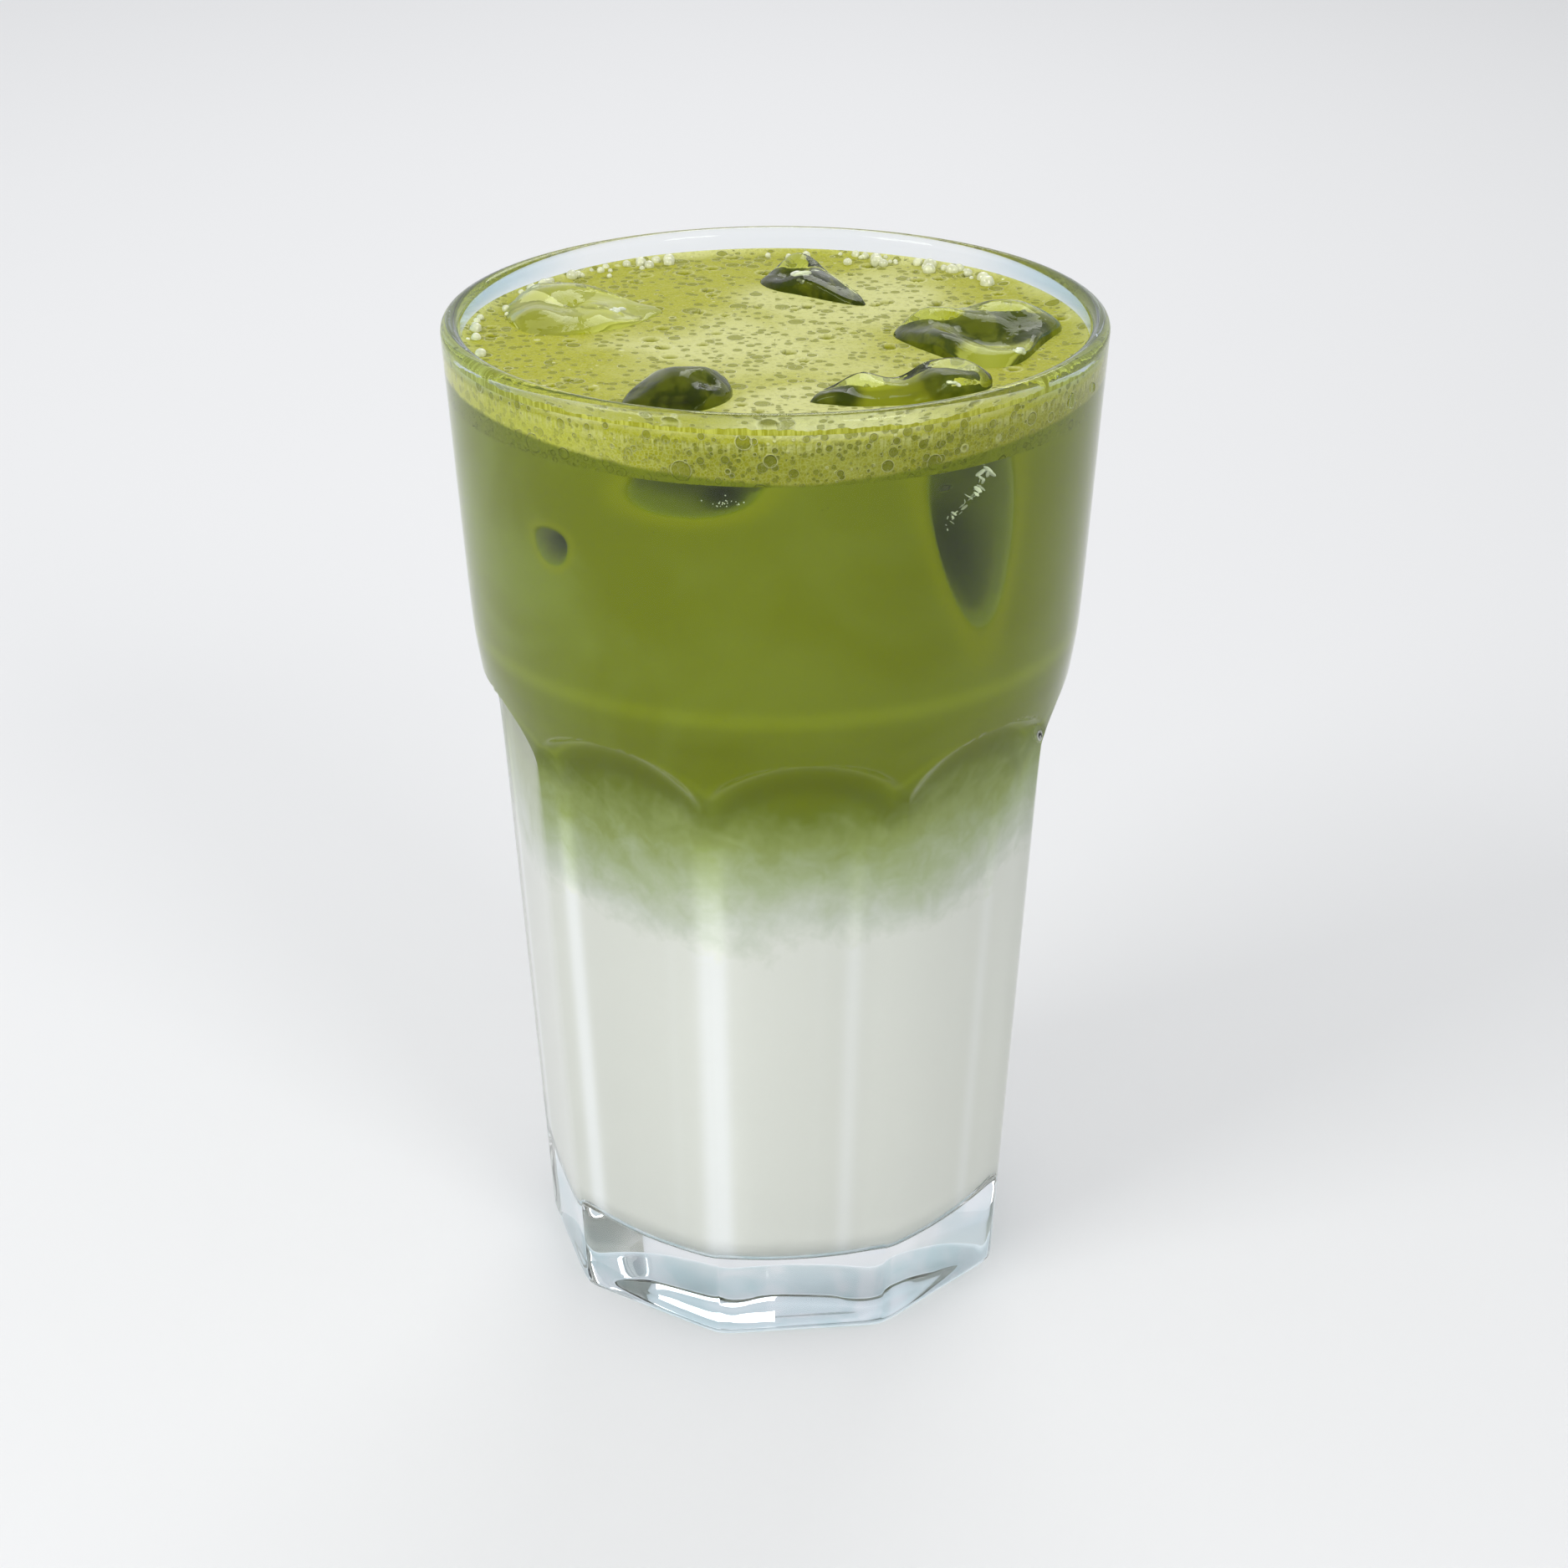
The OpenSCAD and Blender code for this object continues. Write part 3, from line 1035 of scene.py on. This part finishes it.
def cut_ice(piece):
    """Cuts the ice's shapes out of a piece with a Boolean, applied. The faces of the cut take the
    piece's second material."""
    cutters = joined("cutters", ice_grids(True).values())
    second = np.ones(len(cutters.data.polygons), np.int32)
    cutters.data.polygons.foreach_set("material_index", second)
    for each in (piece, cutters):
        for name in ("first", "second"):
            each.data.materials.append(bpy.data.materials.get(name) or bpy.data.materials.new(name))
    cut = piece.modifiers.new("ice", "BOOLEAN")
    cut.operation = "DIFFERENCE"
    cut.solver = "EXACT"
    cut.object = cutters
    apply_modifiers(piece)
    discard(cutters)


def apply_modifiers(piece):
    """Replaces a piece's mesh by its mesh with every modifier applied."""
    graph = bpy.context.evaluated_depsgraph_get()
    done = bpy.data.meshes.new_from_object(
        piece.evaluated_get(graph), preserve_all_data_layers=True, depsgraph=graph)
    old = piece.data
    piece.modifiers.clear()
    piece.data = done
    bpy.data.meshes.remove(old)


def joined(name, grids):
    """Closed grids of points, each with poles at both ends, joined in one object."""
    pieces = [lathe(name, grid) for grid in grids]
    work = bmesh.new()
    for piece in pieces:
        work.from_mesh(piece.data)
    for piece in pieces:
        discard(piece)
    mesh = bpy.data.meshes.new(name)
    work.to_mesh(mesh)
    work.free()
    mesh.shade_smooth()
    return new_object(name, mesh)


# Painted glints near the ice's top, as pale flakes: place, height over the foam and half length, in
# millimetres.
ICE_GLINTS = ((-21.8, 9.0, 1.0, 0.7), (4.4, 23.4, 1.3, 1.3), (31.6, -10.6, 1.0, 0.9), (22.2, -26.5, 1.8, 0.6))


def ice_grids(cutter=False):
    """Points of every piece of ice that stands out of the foam."""
    seed = settings().ice.seed
    return {node: ice_grid(form, seed + k, cutter) for k, (node, form) in enumerate(ICE_FORMS.items())}


class LATTE_OT_ice(bpy.types.Operator):
    """Make the clear ice"""

    bl_idname = "latte.ice"
    bl_label = "Ice"

    def execute(self, context):
        material = ice_finish("wet_ice", 1.31, (0.62, 0.70, 0.42))
        for node, grid in ice_grids().items():
            piece = lathe(node.replace("ice", "clear_ice"), grid)
            finish_piece(piece, material, "ice", node)
        return {"FINISHED"}


def sunk_points(window, count=48, rows=14):
    """Points of a pillow of ice that fills a dent in the drink: rings round the window's middle, out
    along its back and in again along its front, which lies just inside the wall."""
    way, middle, wide, high, drift, shrink, _, _ = window
    turn = np.linspace(0, 2 * math.pi, count, endpoint=False)
    c, s = np.cos(turn), np.sin(turn)
    power = WINDOW_SQUARENESS
    edge = (np.abs(c) ** power + np.abs(s) ** power) ** (-1 / power)
    reach = np.linspace(0.05, 0.97, rows)
    rings = []
    for share, back in [(r, True) for r in reach] + [(r, False) for r in reach[::-1]]:
        rise = share * edge * s
        z = np.minimum((middle + high * rise) * MM, FOAM_LOW_Z - 0.1 * MM)
        along = share * edge * c * wide * (1 + shrink * np.clip(rise, -1, 1))
        angles = np.radians(way - drift * rise) + along * MM / hollow_r(z)
        dent = windows(angles, z)[0]
        radius = hollow_r(z) + (SOAK - dent - 0.12 * MM if back else 0.18 * MM)
        rings.append(ring(radius, z, angles))
    return rings


def flakes(name, spots, material, slot):
    """A piece of many small worn blobs: each spot is a middle, half sizes and a turn."""
    rng = np.random.default_rng(29)
    grids = [
        worn_ball(np.array(middle), np.array(half), turn, rng.integers(1000))
        for middle, half, turn in spots
    ]
    piece = joined(name, grids)
    return finish_piece(piece, material, slot)


def on_wall(way, z, inside):
    """A point some millimetres inside the hollow's wall, in a direction and at a height."""
    return around_axis(float(hollow_r(z * MM)) - inside * MM, way, z * MM)


def around_axis(radius, way, z):
    """A point at a radius, a direction in degrees and a height."""
    turn = math.radians(way)
    return [radius * math.cos(turn), radius * math.sin(turn), z]


class LATTE_OT_sunk_ice(bpy.types.Operator):
    """Make the ice that leans on the wall under the surface"""

    bl_idname = "latte.sunk_ice"
    bl_label = "Sunk ice"

    def execute(self, context):
        material = ice_finish("sunk_ice", 1.03, (0.3, 0.34, 0.2))
        for name, window in zip(("sunk_ice_left", "sunk_ice_right", "sunk_ice_chip"), WINDOWS):
            finish_piece(lathe(name, sunk_points(window)), material, "ice")
        # Pale flakes: cracks and bubbles in the sunk ice, and painted glints near the ice's tops.
        flaw_and_glint = pale_finish("ice_flaw_and_glint", (0.74, 0.78, 0.60))
        flakes("ice_flaws_and_glints", self.flaws_and_glints(np.random.default_rng(5)), flaw_and_glint, "ice")
        return {"FINISHED"}

    def flaws_and_glints(self, rng):
        """Spots of the pale flakes: a slanting crack of thin flakes in the sunk piece at the right, whose
        pale colour also paints a glint, a spray of fine bubbles in the left one, and a few flakes near the
        tops over the foam, which paint glints."""
        spots = []
        for share in np.linspace(0, 1, 34):
            way = -58.0 + 8.6 * share + rng.normal(0, 0.35)
            z = 122.6 + 6.4 * share + rng.normal(0, 0.35)
            half = np.array([0.62, 0.07, 0.22]) * rng.uniform(0.4, 1.4) * (0.6 + 0.8 * share) * MM
            middle = on_wall(way, z, rng.uniform(0.6, 1.6))
            spots.append((middle, half, (rng.uniform(0, 90), 40, rng.uniform(0, 180))))
        for _ in range(26):
            way = rng.normal(-98.5, 1.8)
            z = rng.normal(127.9, 0.35)
            middle = on_wall(way, z, rng.uniform(0.3, 1.0))
            spots.append((middle, np.full(3, rng.uniform(0.05, 0.11)) * MM, (0, 0, 0)))
        for x, y, rise, half in ICE_GLINTS:
            for _ in range(5):
                off = rng.normal(0, 0.45 * half, 3) * (1.6, 1.0, 0.5)
                middle = (np.array([x, y, FOAM_Z / MM + rise]) + off) * MM
                size = np.array([half, 0.5 * half, 0.4 * half]) * rng.uniform(0.4, 1.0) * MM
                spots.append((middle, size, (20, 10, rng.uniform(-60, 60))))
        return spots


class LATTE_OT_bubbles(bpy.types.Operator):
    """Make the large pale bubbles at the back edge of the foam"""

    bl_idname = "latte.bubbles"
    bl_label = "Bubbles"

    def execute(self, context):
        rng = np.random.default_rng(17)
        spots = []
        edge = float(hollow_r(FOAM_Z)) / MM
        stretches = ((112, 150, 26), (38, 92, 34), (150, 200, 12))
        for way in np.concatenate([rng.uniform(*stretch) for stretch in stretches]):
            size = 0.35 + 0.75 * rng.uniform() ** 2.2
            far = edge - size - abs(rng.normal(0, 1.6))
            middle = np.array(around_axis(far, way, FOAM_Z / MM + 0.30 * size)) * MM
            spots.append((middle, np.full(3, size) * MM, (0, 0, 0)))
        # The bubbles' pale skins are partly painted highlight, the white shine of clear bubbles.
        flakes("edge_bubbles", spots, pale_finish("bubble_skin", (0.78, 0.80, 0.52)), "foam")
        return {"FINISHED"}


class LATTE_OT_smear(bpy.types.Operator):
    """Make the smear of froth on the wall over the drink, and the drops outside"""

    bl_idname = "latte.smear"
    bl_label = "Smear and drops"

    def execute(self, context):
        points, quads = self.band()
        piece = build("froth_smear", points, quads)
        shade(piece, "pale", np.full(len(points), 0.25))
        finish_piece(piece, smear_finish(), "foam")
        drops = []
        for way, z, half in ((-31.8, 135.1, (0.45, 0.62, 1.1)), (-22.5, 134.8, (0.35, 0.45, 0.7))):
            middle = around_axis(cone_r(z * MM) + 0.05 * MM, way, z * MM)
            drops.append((middle, np.array(half) * MM, (0, 3.7, way)))
        flakes("drops", drops, ice_finish("water", 1.33, (1, 1, 1)), "ice")
        return {"FINISHED"}

    def band(self):
        """Points and quads of a thin band on the wall: rings up its outer side and down its inner
        side, joined round. Its top edge is a sum of sines, higher at the front, and it thins to
        nothing there."""
        rng = np.random.default_rng(3)
        angles = np.linspace(0, 2 * math.pi, 1440, endpoint=False)
        ragged = sum(np.sin(angles * k + rng.uniform(0, 6.3)) / k**0.35 for k in (7, 19, 43, 88, 151, 240))
        front = np.clip(0.35 - 1.3 * np.sin(angles), 0, 1)
        high = (0.2 + 1.25 * front * np.clip(0.75 + 0.2 * ragged, 0.2, 1.3)) * MM
        low = FOAM_Z - 0.3 * MM
        rings = [ring(hollow_r(low) + 0.08 * MM, low, angles)]
        for share in (0.3, 0.6, 1.0):
            z = FOAM_Z + share * high
            rings.append(ring(hollow_r(z) + 0.08 * MM, z, angles))
        for share, thick in ((0.97, 0.06), (0.5, 0.16), (0.2, 0.22)):
            z = FOAM_Z + share * high
            rings.append(ring(hollow_r(z) - thick * MM, z, angles))
        rings.append(ring(hollow_r(low) - 0.25 * MM, low, angles))
        points = np.concatenate(rings)
        rows = np.arange(len(points)).reshape(len(rings), -1)
        up, on = np.roll(rows, -1, 0), np.roll(rows, -1, 1)
        return points, np.stack([rows, on, np.roll(up, -1, 1), up], -1).reshape(-1, 4)


class LATTE_OT_matcha(bpy.types.Operator):
    """Make the matcha, cut round the ice"""

    bl_idname = "latte.matcha"
    bl_label = "Matcha"

    def execute(self, context):
        angles = np.linspace(0, 2 * math.pi, 420, endpoint=False)
        z = heights((MILK_Z, 104 * MM, 40), (104 * MM, FOAM_LOW_Z, 76))
        dent, deep, halo = windows(angles[None, :], z[:, None])
        edge = float(hollow_r(FOAM_LOW_Z)) + SOAK
        side = [ring(r, h, angles) for r, h in zip(hollow_r(z)[:, None] + SOAK - dent, z)]
        last, last_deep, last_halo = windows(angles[None, :], np.array([[FOAM_LOW_Z]]))
        top = [ring(np.minimum(edge - last[0], edge * s), FOAM_LOW_Z, angles) for s in (1.0, 0.75, 0.4)]
        low = ring(0.5 * float(hollow_r(MILK_Z)), MILK_Z, angles)
        piece = lathe("matcha_fill", [low] + side + top)
        # The painted light and shade that the pressed wall would gather on the matcha.
        lit = focus(angles[None, :], z[:, None])
        shade(piece, "focus", np.vstack([lit[:1], lit]))
        # Painted shade behind the sunk ice, and painted light round it.
        shade(piece, "deep", np.vstack([deep[:1], deep, np.repeat(last_deep, 3, 0)]))
        shade(piece, "halo", np.vstack([halo[:1], halo, np.repeat(last_halo, 3, 0)]))
        cut_ice(piece)
        finish_piece(piece, drink_finish("matcha_body"), "matcha", "matcha")
        piece.data.materials.append(cavity_finish())
        return {"FINISHED"}


def disc(count):
    """A square grid of points from -1 to 1 pressed onto the unit disc, so that its cells stay even:
    each square ring becomes a circle of the same half width."""
    line = np.linspace(-1, 1, count)
    a, b = np.meshgrid(line, line, indexing="ij")
    wide = np.abs(a) >= np.abs(b)
    radius = np.where(wide, a, b)
    safe = np.where(radius == 0, 1, radius)
    turn = np.where(wide, math.pi / 4 * b / safe, math.pi / 2 - math.pi / 4 * a / safe)
    return radius * np.cos(turn), radius * np.sin(turn)


# Paler froth on the foam: how pale, X and Y from the axis, and width, in millimetres.
PALE_FROTH = ((0.70, -1, -4, 19), (0.88, 6, -34, 15), (0.78, 10, 16, 15))


def foam_surface(x, y):
    """Height of the foam on points across it, with how far each lies in a pit, on a pit's rim and
    in the paler froth: a slow swell, a rise where it clings to the wall, and round pits of many
    sizes, each a shallow bowl with a raised rim."""
    rng = np.random.default_rng(11)
    wall = float(hollow_r(FOAM_Z))
    reach = np.hypot(x, y) / wall
    height = 0.12 * MM * np.sin(x / (7 * MM)) * np.cos(y / (9 * MM))
    height = height + 0.5 * MM * np.clip((reach - 0.95) / 0.05, 0, 1) ** 2
    pits, rims = np.zeros_like(x), np.zeros_like(x)
    count = 90
    turn = rng.uniform(0, 2 * math.pi, count)
    far = np.sqrt(rng.uniform(0, 1, count)) * wall * 0.985
    size = (0.75 + 0.6 * rng.uniform(0, 1, count) ** 2.5) * MM
    for px, py, radius in zip(far * np.cos(turn), far * np.sin(turn), size):
        near = np.hypot(x - px, y - py) / radius
        bowl = np.clip(1 - near**2, 0, 1)
        pits = np.maximum(pits, np.clip(bowl * 1.8, 0, 1))
        rim = bell(near, 1.12, 0.18)
        rims = np.maximum(rims, rim)
        height -= 0.45 * radius * np.sqrt(bowl) * (near < 1)
        height += 0.12 * radius * rim
    pale = 0.45 * np.clip((reach - 0.90) / 0.1, 0, 1)
    for share, px, py, wide in PALE_FROTH:
        away = np.hypot(x - px * MM, y - py * MM)
        pale = np.maximum(pale, share * bell(away, 0, wide * MM))
    return FOAM_Z + height, pits, rims * (pits < 0.3), pale


class LATTE_OT_foam(bpy.types.Operator):
    """Make the foam, cut round the ice"""

    bl_idname = "latte.foam"
    bl_label = "Foam"

    def execute(self, context):
        count = 288
        x, y = disc(count)
        edge = float(hollow_r(FOAM_Z)) + SOAK
        x, y = x * edge, y * edge
        height, pits, rims, pale = foam_surface(x, y)
        top = np.stack([x, y, height], -1).reshape(-1, 3)
        index = np.arange(count * count).reshape(count, count)
        quads = np.stack([index[:-1, :-1], index[1:, :-1], index[1:, 1:], index[:-1, 1:]], -1).reshape(-1, 4)
        rim = np.concatenate([index[:-1, 0], index[-1, :-1], index[:0:-1, -1], index[0, :0:-1]])
        angles = np.arctan2(top[rim, 1], top[rim, 0])
        z = np.linspace(FOAM_Z, FOAM_LOW_Z, 15)[1:]
        rings = [ring(r, h, angles) for r, h in zip(hollow_r(z) + SOAK, z)]
        rings += [ring(float(hollow_r(FOAM_LOW_Z)) * s, FOAM_LOW_Z, angles) for s in (0.75, 0.5, 0.2)]
        around = len(rim)
        low = np.concatenate(rings)
        rows = np.concatenate([rim[None], len(top) + np.arange(len(low)).reshape(-1, around)])
        following = np.roll(rows, -1, 1)
        sides = np.stack([rows[:-1], rows[1:], following[1:], following[:-1]], -1).reshape(-1, 4)
        pole = len(top) + len(low)
        fan = np.stack([rows[-1], np.full(around, pole), following[-1]], -1)
        points = np.concatenate([top, low, [[0, 0, FOAM_LOW_Z]]])
        piece = build("foam_fill", points, np.concatenate([quads, sides]), fan)
        shade(piece, "pit", pits)
        shade(piece, "rim", rims)
        shade(piece, "pale", np.concatenate([pale.ravel(), np.full(len(z) * around, 0.12)]))
        cut_ice(piece)
        finish_piece(piece, foam_finish(), "foam", "foam")
        piece.data.materials.append(cavity_finish())
        return {"FINISHED"}


FLOOR_REACH = 4.0
FLOOR_Z = -0.05 * MM  # just under the foot, so that the two don't fight
GLASS_MIDDLE = 70 * MM  # height that the lamps face
# Soft lamps: name, place, power against the key's, and size, in metres.
LAMPS = (
    ("key", (-0.75, -0.55, 0.75), 1.0, 0.45),
    ("right", (0.62, -0.92, 0.70), 0.84, 0.40),
    ("back", (0.15, 0.80, 0.90), 0.56, 0.5),
)
CAMERA_BACK = 418.83 * MM
CAMERA_UP = 263.94 * MM
CAMERA_TURNS = (90 - 24.74, 0.096, -0.186)  # degrees about X, Y and Z
BOUNCES = {"max_bounces": 20, "transmission_bounces": 18, "glossy_bounces": 8, "diffuse_bounces": 4}


class LATTE_OT_stage(bpy.types.Operator):
    """Make the floor, the lights and the camera"""

    bl_idname = "latte.stage"
    bl_label = "Stage"

    def execute(self, context):
        look = settings().stage
        ways = np.array([[-1, -1], [1, -1], [1, 1], [-1, 1]])
        corners = np.column_stack([ways * FLOOR_REACH, np.full(4, FLOOR_Z)])
        floor = build("floor", corners, np.array([[0, 1, 2, 3]]))
        floor.data.materials.append(floor_finish())
        for name, place, share, size in LAMPS:
            self.light(name, place, share * look.key_power, size)
        self.camera(context.scene, look.lens)
        self.sky(context.scene)
        context.scene.view_settings.view_transform = "Standard"
        context.scene.view_settings.look = "None"
        for name, most in BOUNCES.items():
            setattr(context.scene.cycles, name, most)
        return {"FINISHED"}

    def camera(self, scene, lens):
        """The camera, level but for a trace, looking down on the glass from the front."""
        camera_data = bpy.data.cameras.new("camera")
        camera_data.lens = lens
        camera_data.sensor_width = 36.0
        camera_data.clip_start = 0.01
        camera = new_object("camera", camera_data)
        camera.location = (0.0, -CAMERA_BACK, CAMERA_UP)
        camera.rotation_euler = [math.radians(angle) for angle in CAMERA_TURNS]
        scene.camera = camera

    def sky(self, scene):
        """The studio's pale walls, dimmer overhead and in front."""
        scene.world = bpy.data.worlds.new("studio")
        n = Nodes(scene.world)
        _, back, up = n.axes(n.add("ShaderNodeTexCoord").at("Generated"))
        sky = n.mix(n.step(up, 0.25, 0.95), (0.86, 0.87, 0.89), (0.58, 0.59, 0.61))
        sky = n.mix(n.step(back, -0.1, -0.9) * 0.5, sky, (0.74, 0.74, 0.76))
        light = n.add("ShaderNodeBackground", {}, {"Color": sky, "Strength": 1.035})
        n.add("ShaderNodeOutputWorld", {}, {"Surface": light})

    def light(self, name, place, power, size):
        """A square soft light that faces the glass."""
        data = bpy.data.lights.new(name, "AREA")
        data.energy = power
        data.size = size
        lamp = new_object(name, data)
        lamp.location = place
        aim = Vector((0, 0, GLASS_MIDDLE)) - Vector(place)
        lamp.rotation_euler = aim.to_track_quat("-Z", "Y").to_euler()


class LATTE_PT_panel(bpy.types.Panel):
    """Lists the steps and their sizes"""

    bl_label = "Iced matcha latte"
    bl_idname = "LATTE_PT_panel"
    bl_space_type = "VIEW_3D"
    bl_region_type = "UI"
    bl_category = "Latte"

    def draw(self, context):
        for step in STEPS:
            self.layout.operator(step.bl_idname)
        for group in (settings().tumbler, settings().drink, settings().ice, settings().stage):
            for name in group.__annotations__:
                self.layout.prop(group, name)


STEPS = (
    LATTE_OT_stage,
    LATTE_OT_tumbler,
    LATTE_OT_milk,
    LATTE_OT_matcha,
    LATTE_OT_foam,
    LATTE_OT_ice,
    LATTE_OT_sunk_ice,
    LATTE_OT_bubbles,
    LATTE_OT_smear,
)
CLASSES = (TumblerSizes, DrinkLooks, IceSizes, StageLooks, Latte, *STEPS, LATTE_PT_panel)


def register():
    for cls in CLASSES:
        bpy.utils.register_class(cls)
    bpy.types.Scene.latte = PointerProperty(type=Latte)


def unregister():
    del bpy.types.Scene.latte
    for cls in reversed(CLASSES):
        bpy.utils.unregister_class(cls)


def main():
    register()
    for step in STEPS:
        family, name = step.bl_idname.split(".")
        getattr(getattr(bpy.ops, family), name)()


if __name__ == "__main__":
    main()
